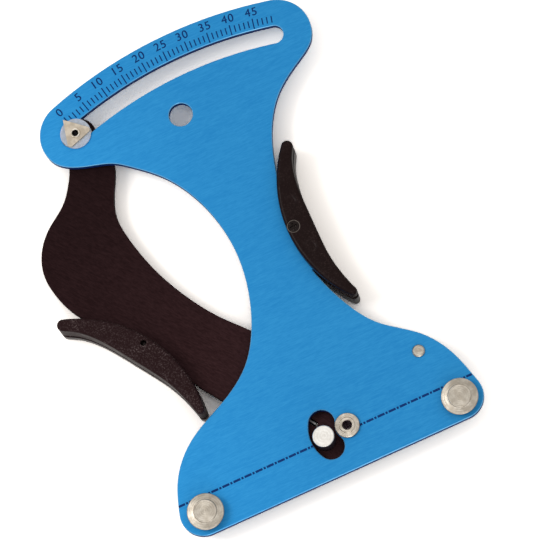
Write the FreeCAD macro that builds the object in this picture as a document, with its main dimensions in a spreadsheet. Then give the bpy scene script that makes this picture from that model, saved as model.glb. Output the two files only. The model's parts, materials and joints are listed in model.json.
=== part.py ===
import FreeCAD, Part
import math
import os

import Sketcher
from FreeCAD import Placement, Rotation, Vector

# Spoke tension meter: a blue plate with a scale and two fixed posts, and a sprung lever behind it that
# carries the pointer and the moving post. X runs from the left post to the right one, Y towards the scale,
# Z out of the face. The origin is the pivot's axis at the level of the surface that the tool lies on.

# Driving sizes in millimetres, and angles in degrees
SIZES = {
    # plates
    "plate_thickness": 3.2,
    "lever_thickness": 3.2,
    "plate_gap": 0.8,
    "edge_break": 0.3,
    # scale head and base of the front plate
    "slot_radius": 173.6,
    "slot_half_width": 3.96,
    "head_margin": 15.6,
    "head_spare_angle": 0.2,
    "rest_angle": 108.15,
    "swing_angle": 31.5,
    "slot_spare_angle": 0.85,
    "post_spacing": 114.3,
    "post_mid_offset": 10.3,
    "post_drop": 9.1,
    "base_drop": 18.1,
    "corner_radius": 10.0,
    "left_overhang": 1.05,
    "right_overhang": 0.15,
    "hang_hole_radius": 5.1,
    # posts
    "post_shaft_radius": 6.1,
    "post_head_radius": 7.7,
    "post_shaft_height": 3.0,
    "post_rim_height": 0.7,
    "post_cone_height": 0.7,
    "post_boss_radius": 4.9,
    "post_boss_height": 0.4,
    "post_shank_radius": 3.5,
    "post_tail_radius": 4.7,
    "post_tail_height": 1.2,
    "moving_post_arm": 10.8,
    "moving_post_angle": 184.9,
    "moving_post_radius": 4.5,
    "moving_post_stand": 4.5,
    "moving_shank_radius": 2.6,
    "small_chamfer": 0.25,
    "kidney_half_width": 5.5,
    "kidney_lower_spare": 23.9,
    "kidney_upper_spare": 4.0,
    # pivot
    "bush_radius": 3.2,
    "bush_bore_radius": 1.9,
    "bush_flange_radius": 5.2,
    "bush_flange_height": 1.2,
    "bush_lip_radius": 3.4,
    "bush_lip_height": 0.3,
    "bush_tail_radius": 4.8,
    "bush_tail_height": 1.0,
    "running_clearance": 0.05,
    "axial_play": 0.1,
    "spacer_radius": 5.2,
    "hub_radius": 7.8,
    # lever outline
    "pivot_lobe_radius": 8.6,
    "post_lobe_radius": 9.2,
    "lever_head_radius": 8.3,
    # spring and its pin
    "wire_radius": 0.8,
    "coil_radius": 9.0,
    "coil_pitch": 2.05,
    "coil_gap": 0.3,
    "hook_arm": 17.6,
    "hook_angle": 142.9,
    "hook_bend_radius": 1.45,
    "tail_proud": 0.2,
    "tail_length": 4.2,
    "tail_angle": 303.7,
    "tail_slot_play": 0.3,
    "leg_overhang": 4.5,
    "pin_head_radius": 2.65,
    "pin_head_height": 0.9,
    "pin_shank_radius": 1.6,
    "pin_body_radius": 2.4,
    "pin_groove_radius": 1.5,
    "pin_groove_play": 0.15,
    # pointer
    "pointer_length": 8.15,
    "pointer_half_width": 5.9,
    "pointer_heel": 3.55,
    "pointer_corner": 1.3,
    "pointer_thickness": 0.8,
    "washer_radius": 6.6,
    "washer_thickness": 0.5,
    "washer_gap": 0.2,
    "pointer_bush_radius": 2.6,
    "rivet_radius": 1.8,
    "rivet_bore_radius": 1.35,
    "rivet_head_radius": 2.25,
    "rivet_head_height": 0.45,
    "rivet_tail_radius": 2.6,
    "rivet_tail_height": 0.6,
    # grips
    "grip_thin_height": 5.0,
    "grip_top_reach": 35.8,
    "grip_bottom_reach": 37.8,
    "grip_top_offset": 12.1,
    "grip_bottom_offset": 10.4,
    "grip_top_radius": 2.5,
    "grip_bottom_radius": 1.9,
    "grip_head_wall": 0.26,
    "grip_waist": 8.2,
    "grip_edge_round": 1.5,
    "right_grip_turn": 1.2,
    "left_grip_turn": 32.2,
    "screw_radius": 1.25,
    "screw_point_radius": 0.6,
    "screw_thread_clearance": 0.05,
    "screw_hole_radius": 1.6,
    "screw_head_radius": 2.75,
    "screw_head_sink": 0.3,
    "screw_bite": 7.0,
    "cross_half_width": 0.4,
    "cross_half_length": 1.5,
    "cross_depth": 0.9,
    "peg_radius": 2.2,
    "peg_clearance": 0.2,
    "peg_short": 0.4,
    "peg_offset": 2.6,
    "peg_spacing": 21.8,
    "tab_half_length": 21.0,
    "tab_inset": 1.6,
    "tab_corner": 3.0,
    # how far a cutting shape runs past what it cuts
    "overrun": 1.0,
}

# Places on the plates, as shares of slot_radius, X then Y
HANG_HOLE_SHARES = (-0.0580, 0.8837)
SPRING_PIN_SHARES = (0.2272, 0.0940)
RIGHT_GRIP_SHARES = (0.0795, 0.4965)
LEFT_GRIP_SHARES = (-0.3632, 0.3863)

# The front plate's sides, from the base up on the right and from the head down on the left
PLATE_RIGHT_SHARES = (
    (0.3013, 0.0524), (0.2488, 0.1331), (0.1668, 0.2013), (0.1152, 0.2811), (0.0806, 0.3744),
    (0.0655, 0.5012), (0.0885, 0.6164), (0.1195, 0.7275), (0.1846, 0.8318), (0.2629, 0.8866),
)
PLATE_LEFT_SHARES = (
    (-0.3324, 0.8666), (-0.2506, 0.8370), (-0.2218, 0.8148), (-0.1659, 0.7632), (-0.0985, 0.6480),
    (-0.0726, 0.5012), (-0.1048, 0.3370), (-0.1647, 0.2373), (-0.2425, 0.1820), (-0.3502, 0.1267),
    (-0.4206, 0.0499),
)
# The lever's sides, from its head down on the right and from the post up on the left
LEVER_RIGHT_SHARES = (
    (-0.2569, 0.8860), (-0.2592, 0.8358), (-0.2823, 0.7851), (-0.3030, 0.7195), (-0.3007, 0.6797),
    (-0.2921, 0.6348), (-0.2627, 0.5395), (-0.2193, 0.4516), (-0.1708, 0.3796), (-0.1141, 0.3139),
    (-0.0490, 0.2150), (0.0150, 0.1150),
)
LEVER_LEFT_SHARES = (
    (-0.1498, 0.0576), (-0.2471, 0.1872), (-0.3024, 0.2765), (-0.3514, 0.3917), (-0.4147, 0.4580),
    (-0.4741, 0.5156), (-0.5156, 0.6031), (-0.5216, 0.6630), (-0.5017, 0.7218), (-0.4608, 0.7679),
    (-0.4136, 0.8030), (-0.3802, 0.8462), (-0.3594, 0.8923),
)
# The finger side of a grip from its bottom to its top: X as shares of the waist, Y as shares of the
# reach on the same side of the screw
GRIP_FINGER_SHARES = (
    (1.195, -0.714), (1.030, -0.508), (0.998, -0.193), (1.030, 0.130), (1.116, 0.461),
    (1.305, 0.677), (1.482, 0.785),
)
# How nearly a face's normal has to match the direction that it is looked for in
SAME_DIRECTION = 1 - 1e-6
# Where the corner arcs and the head's arcs give way to the sides, in degrees round their centres
CORNER_JOIN_ANGLE = 15.0
HEAD_RIGHT_JOIN_ANGLE = -30.0
HEAD_LEFT_JOIN_ANGLE = 205.0
LEVER_HEAD_RIGHT_ANGLE = -20.0
LEVER_HEAD_LEFT_ANGLE = 185.0
PIVOT_LOBE_ANGLE = 25.0
GRIP_BOTTOM_JOIN_ANGLE = 20.0
GRIP_TOP_JOIN_ANGLE = -27.0
POST_LOBE_ANGLE = 212.0
QUARTER_TURN = 90.0
HALF_TURN = 180.0
FULL_TURN = 360.0
SHEET_NAME = "sizes"

doc = FreeCAD.newDocument("spoke_tension_meter")
sheet = doc.addObject("Spreadsheet::Sheet", SHEET_NAME)
for row, (name, number) in enumerate(SIZES.items(), start=1):
    sheet.set("A%d" % row, name.replace("_", " "))
    sheet.set("B%d" % row, str(number))
    sheet.setAlias("B%d" % row, name)
doc.recompute()


class Length:
    """A sum of named sizes: it gives its value and the expression that ties an object to the sheet."""

    def __init__(self, terms):
        self.terms = terms

    def __add__(self, other):
        terms = dict(self.terms)
        for key, factor in other.terms.items():
            terms[key] = terms.get(key, 0) + factor
        return Length(terms)

    def __mul__(self, factor):
        return Length({key: factor * old for key, old in self.terms.items()})

    def __sub__(self, other):
        return self + other * -1

    def __neg__(self):
        return self * -1

    @property
    def value(self):
        return sum(factor * sheet.get(key) for key, factor in self.terms.items())

    @property
    def formula(self):
        parts = ["%r * %s.%s" % (factor, SHEET_NAME, key) for key, factor in self.terms.items()]
        return " + ".join(parts) if parts else "0"


ZERO = Length({})
UP = Vector(0, 0, 1)
DOWN = Vector(0, 0, -1)
ORIGIN = Vector(0, 0, 0)


def size(name):
    return Length({name: 1})


def degrees(name):
    return sheet.get(name)


# Levels of the stack, counted from the surface that the tool lies on
LEVER_BACK = size("grip_thin_height")
LEVER_FRONT = LEVER_BACK + size("lever_thickness")
PLATE_BACK = LEVER_FRONT + size("plate_gap")
PLATE_FRONT = PLATE_BACK + size("plate_thickness")
GRIP_THICK_HEIGHT = PLATE_BACK


def polar(radius, angle):
    """X and Y lengths of a place given by its distance from the pivot and its angle."""
    turn = math.radians(angle)
    return radius * round(math.cos(turn), 9), radius * round(math.sin(turn), 9)


def at_share(shares):
    return size("slot_radius") * shares[0], size("slot_radius") * shares[1]


def plan(point):
    """The flat vector of a pair of lengths."""
    return Vector(point[0].value, point[1].value, 0)


def on_circle(centre, radius, angle):
    turn = math.radians(angle)
    return centre + Vector(math.cos(turn), math.sin(turn), 0) * radius


def arc(centre, radius, start, end):
    """A counter-clockwise arc between two angles in degrees."""
    circle = Part.Circle(centre, UP, radius)
    return Part.ArcOfCircle(circle, math.radians(start), math.radians(end))


def heading(angle):
    """The direction in which a counter-clockwise arc leaves the place at this angle."""
    return Vector(-math.sin(math.radians(angle)), math.cos(math.radians(angle)), 0)


def smooth_line(points, first_heading, last_heading):
    curve = Part.BSplineCurve()
    curve.interpolate(Points=points, InitialTangent=first_heading, FinalTangent=last_heading,
                      Scale=False)
    return curve


# Bodies, sketches and features

def new_body(label, x=ZERO, y=ZERO, z=ZERO, turn=0.0, flipped=False):
    """A body standing at a place, turned about Z, and lying on its face where it is flipped."""
    body = doc.addObject("PartDesign::Body", label)
    body.Label = label
    rotation = Rotation(UP, turn)
    if flipped:
        rotation = rotation.multiply(Rotation(Vector(0, 1, 0), HALF_TURN))
    body.Placement = Placement(Vector(x.value, y.value, z.value), rotation)
    for axis, length in (("x", x), ("y", y), ("z", z)):
        body.setExpression("Placement.Base.%s" % axis, length.formula)
    return body


def new_sketch(body, role, level=ZERO):
    sketch = body.newObject("Sketcher::SketchObject", body.Name + "_sketch")
    plane = next(item for item in body.Origin.OriginFeatures if item.Role == role)
    sketch.AttachmentSupport = [(plane, "")]
    sketch.MapMode = "FlatFace"
    if level.terms:
        sketch.AttachmentOffset = Placement(Vector(0, 0, level.value), Rotation())
        sketch.setExpression("AttachmentOffset.Base.z", level.formula)
    return sketch


def tie(sketch, kind, geometry, vertex, length, axis_line):
    """Hold one coordinate of a sketch point to a named length, or to the axis where it is zero."""
    if length.terms:
        index = sketch.addConstraint(Sketcher.Constraint(kind, -1, 1, geometry, vertex, length.value))
        sketch.setExpression("Constraints[%d]" % index, length.formula)
    else:
        sketch.addConstraint(Sketcher.Constraint("PointOnObject", geometry, vertex, axis_line))


def tie_point(sketch, geometry, vertex, x, y):
    tie(sketch, "DistanceX", geometry, vertex, x, -2)
    tie(sketch, "DistanceY", geometry, vertex, y, -1)


def draw_circle(sketch, x, y, radius):
    index = sketch.addGeometry(Part.Circle(plan((x, y)), UP, radius.value))
    constraint = sketch.addConstraint(Sketcher.Constraint("Radius", index, radius.value))
    sketch.setExpression("Constraints[%d]" % constraint, radius.formula)
    tie_point(sketch, index, 3, x, y)


def draw_polygon(sketch, points):
    """A closed outline of straight lines whose corners are held to named lengths."""
    corners = [plan(point) for point in points]
    lines = []
    for start, end in zip(corners, corners[1:] + corners[:1]):
        lines.append(sketch.addGeometry(Part.LineSegment(start, end)))
    for line, following in zip(lines, lines[1:] + lines[:1]):
        sketch.addConstraint(Sketcher.Constraint("Coincident", line, 2, following, 1))
    for line, (x, y) in zip(lines, points):
        tie_point(sketch, line, 1, x, y)


def draw_curves(sketch, curves):
    for curve in curves:
        sketch.addGeometry(curve)


def pad(body, sketch, length, downwards=False):
    feature = body.newObject("PartDesign::Pad", body.Name + "_pad")
    feature.Profile = sketch
    feature.Length = length.value
    feature.setExpression("Length", length.formula)
    feature.Reversed = downwards
    doc.recompute()
    return feature


def cut(body, sketch, kind, set_up):
    """A cutting feature that has to take material away."""
    before = body.Shape.Volume
    feature = body.newObject("PartDesign::" + kind, body.Name + "_cut")
    feature.Profile = sketch
    set_up(feature)
    doc.recompute()
    if not body.Shape.Volume < before:
        raise RuntimeError(body.Label + ": a cut took nothing away")
    return feature


def cut_through(body, sketch):
    """Cut a sketch that lies on a plate's back all the way through the plate."""
    def set_up(feature):
        feature.Type = 1
        feature.Reversed = True
    return cut(body, sketch, "Pocket", set_up)


def cut_down(body, sketch, depth):
    def set_up(feature):
        feature.Length = depth.value
        feature.setExpression("Length", depth.formula)
    return cut(body, sketch, "Pocket", set_up)


def cut_turned(body, sketch):
    def set_up(feature):
        feature.ReferenceAxis = (sketch, ["V_Axis"])
        feature.Angle = FULL_TURN
    return cut(body, sketch, "Groove", set_up)


def turn_profile(body, profile):
    """Revolve a profile of radius and height pairs about the body's Z axis."""
    sketch = new_sketch(body, "XZ_Plane")
    draw_polygon(sketch, profile)
    feature = body.newObject("PartDesign::Revolution", body.Name + "_turning")
    feature.Profile = sketch
    feature.ReferenceAxis = (sketch, ["V_Axis"])
    feature.Angle = FULL_TURN
    doc.recompute()
    return feature


def faces_towards(shape, direction):
    """Names of the flat faces that look in a direction."""
    names = []
    for index, face in enumerate(shape.Faces, start=1):
        if isinstance(face.Surface, Part.Plane) and face.normalAt(0, 0).dot(direction) > SAME_DIRECTION:
            names.append("Face%d" % index)
    return names


def soften(body, kind, base, directions, length):
    """Round or chamfer every edge of the flat faces that look in the given directions."""
    names = []
    for direction in directions:
        names += faces_towards(base.Shape, direction)
    feature = body.newObject("PartDesign::" + kind, body.Name + "_edges")
    feature.Base = (base, names)
    if kind == "Fillet":
        feature.Radius = length.value
        feature.setExpression("Radius", length.formula)
    else:
        feature.Size = length.value
        feature.setExpression("Size", length.formula)
    doc.recompute()
    return feature


# Front plate

def post_place(side):
    """Where a fixed post stands: side is -1 for the left one and 1 for the right one."""
    x = size("post_spacing") * (side * 0.5) - size("post_mid_offset")
    return x, -size("post_drop")


def moving_post_place():
    return polar(size("moving_post_arm"), degrees("moving_post_angle"))


def pointer_place():
    return polar(size("slot_radius"), degrees("rest_angle"))


def slot_curves(radius, half_width, first_angle, last_angle):
    """An arc-shaped slot round the pivot with round ends."""
    first = on_circle(ORIGIN, radius, first_angle)
    last = on_circle(ORIGIN, radius, last_angle)
    return [
        arc(ORIGIN, radius + half_width, first_angle, last_angle),
        arc(last, half_width, last_angle, last_angle + HALF_TURN),
        arc(ORIGIN, radius - half_width, first_angle, last_angle),
        arc(first, half_width, first_angle + HALF_TURN, first_angle + FULL_TURN),
    ]


def plate_outline():
    """The front plate's outline: a base with round corners, a waist and an arc-shaped head."""
    radius = size("corner_radius").value
    corner_level = size("corner_radius") - size("base_drop")
    right_corner = plan((post_place(1)[0] + size("right_overhang"), corner_level))
    left_corner = plan((post_place(-1)[0] - size("left_overhang"), corner_level))
    margin = size("head_margin").value
    slot_radius = size("slot_radius").value
    high_angle = degrees("rest_angle")
    low_angle = high_angle - degrees("swing_angle") - degrees("head_spare_angle")
    right_end = on_circle(ORIGIN, slot_radius, low_angle)
    left_end = on_circle(ORIGIN, slot_radius, high_angle)
    right_join = HALF_TURN - CORNER_JOIN_ANGLE
    right_points = [on_circle(right_corner, radius, CORNER_JOIN_ANGLE)]
    right_points += [plan(at_share(shares)) for shares in PLATE_RIGHT_SHARES]
    right_points += [on_circle(right_end, margin, HEAD_RIGHT_JOIN_ANGLE)]
    left_points = [on_circle(left_end, margin, HEAD_LEFT_JOIN_ANGLE)]
    left_points += [plan(at_share(shares)) for shares in PLATE_LEFT_SHARES]
    left_points += [on_circle(left_corner, radius, right_join)]
    bottom = Vector(0, radius, 0)
    return [
        Part.LineSegment(left_corner - bottom, right_corner - bottom),
        arc(right_corner, radius, -QUARTER_TURN, CORNER_JOIN_ANGLE),
        smooth_line(right_points, heading(CORNER_JOIN_ANGLE), heading(HEAD_RIGHT_JOIN_ANGLE)),
        arc(right_end, margin, HEAD_RIGHT_JOIN_ANGLE, low_angle),
        arc(ORIGIN, slot_radius + margin, low_angle, high_angle),
        arc(left_end, margin, high_angle, HEAD_LEFT_JOIN_ANGLE),
        smooth_line(left_points, heading(HEAD_LEFT_JOIN_ANGLE), heading(right_join)),
        arc(left_corner, radius, right_join, HALF_TURN + QUARTER_TURN),
    ]


def grip_frame(shares, turn, mirrored):
    """Where a grip's own drawing lies on the plates: outwards is +X, or -X where it is mirrored."""
    base = plan(at_share(shares))
    rotation = Rotation(UP, turn)
    side = -1 if mirrored else 1

    def place(x, y):
        return base + rotation.multVec(Vector(side * x, y, 0))
    return place


def add_tab(body, place, thickness):
    """The plate's ear inside a grip, with its screw hole and the two holes for the grip's pegs."""
    reach = (size("grip_waist") - size("tab_inset")).value
    half = size("tab_half_length").value
    corner = size("tab_corner").value
    root = -grip_bulge()
    outline = [
        place(root, -half + corner), place(reach - corner, -half), place(reach, -half + corner),
        place(reach, half - corner), place(reach - corner, half), place(root, half - corner),
    ]
    sketch = new_sketch(body, "XY_Plane")
    for start, end in zip(outline, outline[1:] + outline[:1]):
        sketch.addGeometry(Part.LineSegment(start, end))
    pad(body, sketch, thickness)


def tab_holes(sketch, place):
    peg_half = size("peg_spacing").value / 2
    sketch.addGeometry(Part.Circle(place(0, 0), UP, size("screw_hole_radius").value))
    peg_hole = (size("peg_radius") + size("peg_clearance")).value
    for y in (-peg_half, peg_half):
        sketch.addGeometry(Part.Circle(place(size("peg_offset").value, y), UP, peg_hole))


def make_front_plate():
    body = new_body("front_plate", z=PLATE_BACK)
    outline = new_sketch(body, "XY_Plane")
    draw_curves(outline, plate_outline())
    pad(body, outline, size("plate_thickness"))
    cut_front_plate_slots(body)
    place = grip_frame(RIGHT_GRIP_SHARES, degrees("right_grip_turn"), False)
    add_tab(body, place, size("plate_thickness"))
    holes = new_sketch(body, "XY_Plane")
    draw_circle(holes, ZERO, ZERO, size("bush_radius") + size("running_clearance"))
    for side in (-1, 1):
        draw_circle(holes, *post_place(side), size("post_shank_radius") + size("running_clearance"))
    draw_circle(holes, *at_share(SPRING_PIN_SHARES), size("pin_shank_radius") + size("running_clearance"))
    tab_holes(holes, place)
    cut_through(body, holes)
    return body


def cut_front_plate_slots(body):
    """The hang hole, the scale slot and the kidney slot, whose edges are broken with the outline's."""
    hole = new_sketch(body, "XY_Plane")
    draw_circle(hole, *at_share(HANG_HOLE_SHARES), size("hang_hole_radius"))
    cut_through(body, hole)
    slots = new_sketch(body, "XY_Plane")
    high = degrees("rest_angle")
    draw_curves(slots, slot_curves(size("slot_radius").value, size("slot_half_width").value,
                                   high - degrees("swing_angle"), high + degrees("slot_spare_angle")))
    rest = degrees("moving_post_angle")
    draw_curves(slots, slot_curves(size("moving_post_arm").value, size("kidney_half_width").value,
                                   rest - degrees("swing_angle") - degrees("kidney_upper_spare"),
                                   rest + degrees("kidney_lower_spare")))
    base = cut_through(body, slots)
    soften(body, "Chamfer", base, (UP, DOWN), size("edge_break"))


def make_fixed_post(label, side):
    """A spool: a shaft for the spoke, a coned head over it, and a riveted tail behind the plate."""
    body = new_body(label, *post_place(side))
    shaft_top = PLATE_FRONT + size("post_shaft_height")
    rim_top = shaft_top + size("post_rim_height")
    cone_top = rim_top + size("post_cone_height")
    boss_top = cone_top + size("post_boss_height")
    tail_bottom = PLATE_BACK - size("post_tail_height")
    chamfer = size("small_chamfer")
    turn_profile(body, [
        (ZERO, tail_bottom), (size("post_tail_radius") - chamfer, tail_bottom),
        (size("post_tail_radius"), tail_bottom + chamfer), (size("post_tail_radius"), PLATE_BACK),
        (size("post_shank_radius"), PLATE_BACK), (size("post_shank_radius"), PLATE_FRONT),
        (size("post_shaft_radius"), PLATE_FRONT), (size("post_shaft_radius"), shaft_top),
        (size("post_head_radius"), shaft_top), (size("post_head_radius"), rim_top - chamfer),
        (size("post_head_radius") - chamfer, rim_top), (size("post_boss_radius"), cone_top),
        (size("post_boss_radius"), boss_top - chamfer), (size("post_boss_radius") - chamfer, boss_top),
        (ZERO, boss_top),
    ])
    return body


def make_pivot_bush():
    """The hollow rivet that the lever turns on: a flange on the face and a rolled tail at the back."""
    body = new_body("pivot_bush")
    bore = size("bush_bore_radius")
    shaft = size("bush_radius")
    tail = size("bush_tail_radius")
    flange = size("bush_flange_radius")
    flange_top = PLATE_FRONT + size("bush_flange_height")
    chamfer = size("small_chamfer")
    turn_profile(body, [
        (bore, ZERO), (tail - chamfer, ZERO), (tail, chamfer),
        (tail, size("bush_tail_height")), (shaft, size("bush_tail_height")), (shaft, PLATE_FRONT),
        (flange, PLATE_FRONT), (flange, flange_top - chamfer), (flange - chamfer, flange_top),
        (size("bush_lip_radius"), flange_top),
        (size("bush_lip_radius") - chamfer, flange_top + size("bush_lip_height")),
        (bore + chamfer, flange_top + size("bush_lip_height")), (bore, flange_top),
    ])
    return body


def make_ring(label, bore, radius, bottom, top, x=ZERO, y=ZERO):
    body = new_body(label, x, y)
    turn_profile(body, [(bore, bottom), (radius, bottom), (radius, top), (bore, top)])
    return body


def make_spring_pin():
    """A headed pin that reaches back past the lever, with a groove for the spring's fixed leg."""
    body = new_body("spring_pin", *at_share(SPRING_PIN_SHARES))
    groove_bottom = coil_bottom_level() - size("wire_radius") - size("pin_groove_play")
    groove_top = coil_bottom_level() + size("wire_radius") + size("pin_groove_play")
    chamfer = size("small_chamfer")
    head_top = PLATE_FRONT + size("pin_head_height")
    turn_profile(body, [
        (ZERO, ZERO), (size("pin_body_radius"), ZERO), (size("pin_body_radius"), groove_bottom),
        (size("pin_groove_radius"), groove_bottom), (size("pin_groove_radius"), groove_top),
        (size("pin_body_radius"), groove_top), (size("pin_body_radius"), PLATE_BACK),
        (size("pin_shank_radius"), PLATE_BACK), (size("pin_shank_radius"), PLATE_FRONT),
        (size("pin_head_radius"), PLATE_FRONT), (size("pin_head_radius"), head_top - chamfer * 2),
        (size("pin_head_radius") - chamfer * 2, head_top), (ZERO, head_top),
    ])
    return body


# Return spring

def coil_top_level():
    return LEVER_BACK - size("coil_gap") - size("wire_radius")


def coil_tangent_angle(distance, direction, side):
    """The angle at which a straight leg towards a place touches the coil's centre line."""
    return direction + side * math.degrees(math.acos(size("coil_radius").value / distance))


def spring_plan():
    """The coil's end angles, its turns, and the plan of its two legs."""
    coil = size("coil_radius").value
    hook = on_circle(ORIGIN, size("hook_arm").value, degrees("hook_angle"))
    hook_tangent = coil_tangent_angle(size("hook_arm").value, degrees("hook_angle"), 1)
    pin = plan(at_share(SPRING_PIN_SHARES))
    pin_direction = math.degrees(math.atan2(pin.y, pin.x))
    stand_off = (size("pin_groove_radius") + size("wire_radius") + size("running_clearance")).value
    # the leg pushes on the pin from the pivot's side, so the pin stands stand_off outside its line
    pin_side = coil + stand_off
    leg_tangent = pin_direction - math.degrees(math.acos(pin_side / pin.Length))
    along = heading(leg_tangent)
    start = on_circle(ORIGIN, coil, leg_tangent)
    leg_length = math.sqrt(pin.Length ** 2 - pin_side ** 2) + size("leg_overhang").value
    turned = FULL_TURN + (leg_tangent + FULL_TURN - hook_tangent) % FULL_TURN
    return hook, hook_tangent, start, leg_tangent, along, leg_length, turned


def coil_turns():
    return spring_plan()[-1] / FULL_TURN


def tail_level():
    """The level of the tail's centre line: it lies in the lever's slot and stands a little proud of it."""
    return LEVER_FRONT + size("tail_proud") - size("wire_radius")


def tail_direction():
    return on_circle(ORIGIN, 1.0, degrees("tail_angle"))


def coil_bottom_level():
    return coil_top_level() - size("coil_pitch") * coil_turns()


def arc_through_tangent(start, tangent, end, reach):
    """The arc from start along tangent to end, where reach is its tangents' common length."""
    corner = start + tangent * reach
    middle = (start + end) * 0.5
    lean = (end - start).Length / (2 * reach)
    return Part.Arc(start, middle + (corner - middle) * (lean / (1 + lean)), end).toShape()


def biarc(start, first, end, last):
    """Two arcs that leave start along first, meet smoothly and reach end along last."""
    chord = end - start
    both = first + last
    bend = 2 * (1 - first.dot(last))
    lean = chord.dot(both)
    reach = (-lean + math.sqrt(lean ** 2 + bend * chord.dot(chord))) / bend
    joint = (start + first * reach + end - last * reach) * 0.5
    leaving = (joint - start - first * reach).normalize()
    return [
        arc_through_tangent(start, first, joint, reach),
        arc_through_tangent(joint, leaving, end, reach),
    ]


def coil_points(angles, first_angle, bottom, rise_per_degree):
    """Places on the coil's centre line; it climbs as its angle falls."""
    radius = size("coil_radius").value
    points = []
    for angle in angles:
        flat = on_circle(ORIGIN, radius, angle)
        points.append(Vector(flat.x, flat.y, bottom + rise_per_degree * (first_angle - angle)))
    return points


def spring_path():
    """The wire's centre line: fixed leg, coil in quarter turns, moving leg, and its tail in the lever."""
    hook, hook_tangent, start, leg_tangent, along, leg_length, turned = spring_plan()
    bottom = coil_bottom_level().value
    top = coil_top_level().value
    rise = (top - bottom) / turned
    count = math.ceil(turned / QUARTER_TURN)
    angles = [leg_tangent - turned * step / count for step in range(count + 1)]
    points = coil_points(angles, leg_tangent, bottom, rise)
    radius = size("coil_radius").value
    slope = math.atan2(rise * FULL_TURN, 2 * math.pi * radius)
    tangents = []
    for angle in angles:
        flat = -heading(angle)
        tangents.append(Vector(flat.x * math.cos(slope), flat.y * math.cos(slope), math.sin(slope)))
    tangents[0] = -along
    tangents[-1] = -heading(hook_tangent)
    edges = [Part.LineSegment(points[0] + along * leg_length, points[0]).toShape()]
    for index in range(count):
        edges += biarc(points[index], tangents[index], points[index + 1], tangents[index + 1])
    bend = size("hook_bend_radius").value
    corner = Vector(hook.x, hook.y, top)
    before = corner - tangents[-1] * bend
    after = corner + UP * bend
    edges.append(Part.LineSegment(points[-1], before).toShape())
    edges.append(arc_through_tangent(before, tangents[-1], after, bend))
    over = Vector(hook.x, hook.y, tail_level().value)
    edges.append(Part.LineSegment(after, over - UP * bend).toShape())
    tail = tail_direction()
    edges.append(arc_through_tangent(over - UP * bend, UP, over + tail * bend, bend))
    edges.append(Part.LineSegment(over + tail * bend, over + tail * size("tail_length").value).toShape())
    print("spring: %.3f turns, bend radius %.2f" % (turned / FULL_TURN, bend))
    samples = coil_points([leg_tangent - degree for degree in range(int(turned) + 1)],
                          leg_tangent, bottom, rise)
    gaps = [(point - other).Length for index, point in enumerate(samples)
            for other in samples[index + int(HALF_TURN):]]
    print("spring: least gap between its turns %.3f" % (min(gaps) - 2 * size("wire_radius").value))
    return Part.Wire(edges)


def make_return_spring():
    path = spring_path()
    first = path.OrderedEdges[0]
    start = first.valueAt(first.FirstParameter)
    normal = first.tangentAt(first.FirstParameter)
    section = Part.Wire([Part.Circle(start, normal, size("wire_radius").value).toShape()])
    wire = path.makePipeShell([section], True, False)
    expected = math.pi * size("wire_radius").value ** 2 * path.Length
    print("spring: volume %.2f, section times length %.2f" % (wire.Volume, expected))
    feature = doc.addObject("Part::Feature", "return_spring")
    feature.Label = "return_spring"
    feature.Shape = wire
    feature.Placement = Placement()
    return feature


# Lever

def stadium(start, end, half_width):
    """A closed outline of two parallel sides with a half circle round each end."""
    along = (end - start).normalize()
    turn = math.degrees(math.atan2(along.y, along.x))
    aside = Vector(-along.y, along.x, 0) * half_width
    return [
        arc(start, half_width, turn + QUARTER_TURN, turn + HALF_TURN + QUARTER_TURN),
        Part.LineSegment(start - aside, end - aside),
        arc(end, half_width, turn - QUARTER_TURN, turn + QUARTER_TURN),
        Part.LineSegment(end + aside, start + aside),
    ]


def lever_outline():
    """A round end under the pointer, a broad blade, and two lobes at the moving post and the pivot."""
    head = plan(pointer_place())
    head_radius = size("lever_head_radius").value
    pivot_radius = size("pivot_lobe_radius").value
    post = plan(moving_post_place())
    post_radius = size("post_lobe_radius").value
    # the straight lower edge touches both lobes
    spread = math.degrees(math.atan2(post.y, post.x)) % FULL_TURN
    touch = spread + math.degrees(math.acos((pivot_radius - post_radius) / post.Length))
    right_points = [on_circle(head, head_radius, LEVER_HEAD_RIGHT_ANGLE)]
    right_points += [plan(at_share(shares)) for shares in LEVER_RIGHT_SHARES]
    right_points += [on_circle(ORIGIN, pivot_radius, PIVOT_LOBE_ANGLE)]
    left_points = [on_circle(post, post_radius, POST_LOBE_ANGLE)]
    left_points += [plan(at_share(shares)) for shares in LEVER_LEFT_SHARES]
    left_points += [on_circle(head, head_radius, LEVER_HEAD_LEFT_ANGLE)]
    return [
        arc(head, head_radius, LEVER_HEAD_RIGHT_ANGLE, LEVER_HEAD_LEFT_ANGLE),
        smooth_line(right_points, -heading(LEVER_HEAD_RIGHT_ANGLE), -heading(PIVOT_LOBE_ANGLE)),
        arc(ORIGIN, pivot_radius, touch - FULL_TURN, PIVOT_LOBE_ANGLE),
        Part.LineSegment(on_circle(ORIGIN, pivot_radius, touch), on_circle(post, post_radius, touch)),
        arc(post, post_radius, POST_LOBE_ANGLE, touch),
        smooth_line(left_points, -heading(POST_LOBE_ANGLE), -heading(LEVER_HEAD_LEFT_ANGLE)),
    ]


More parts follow.
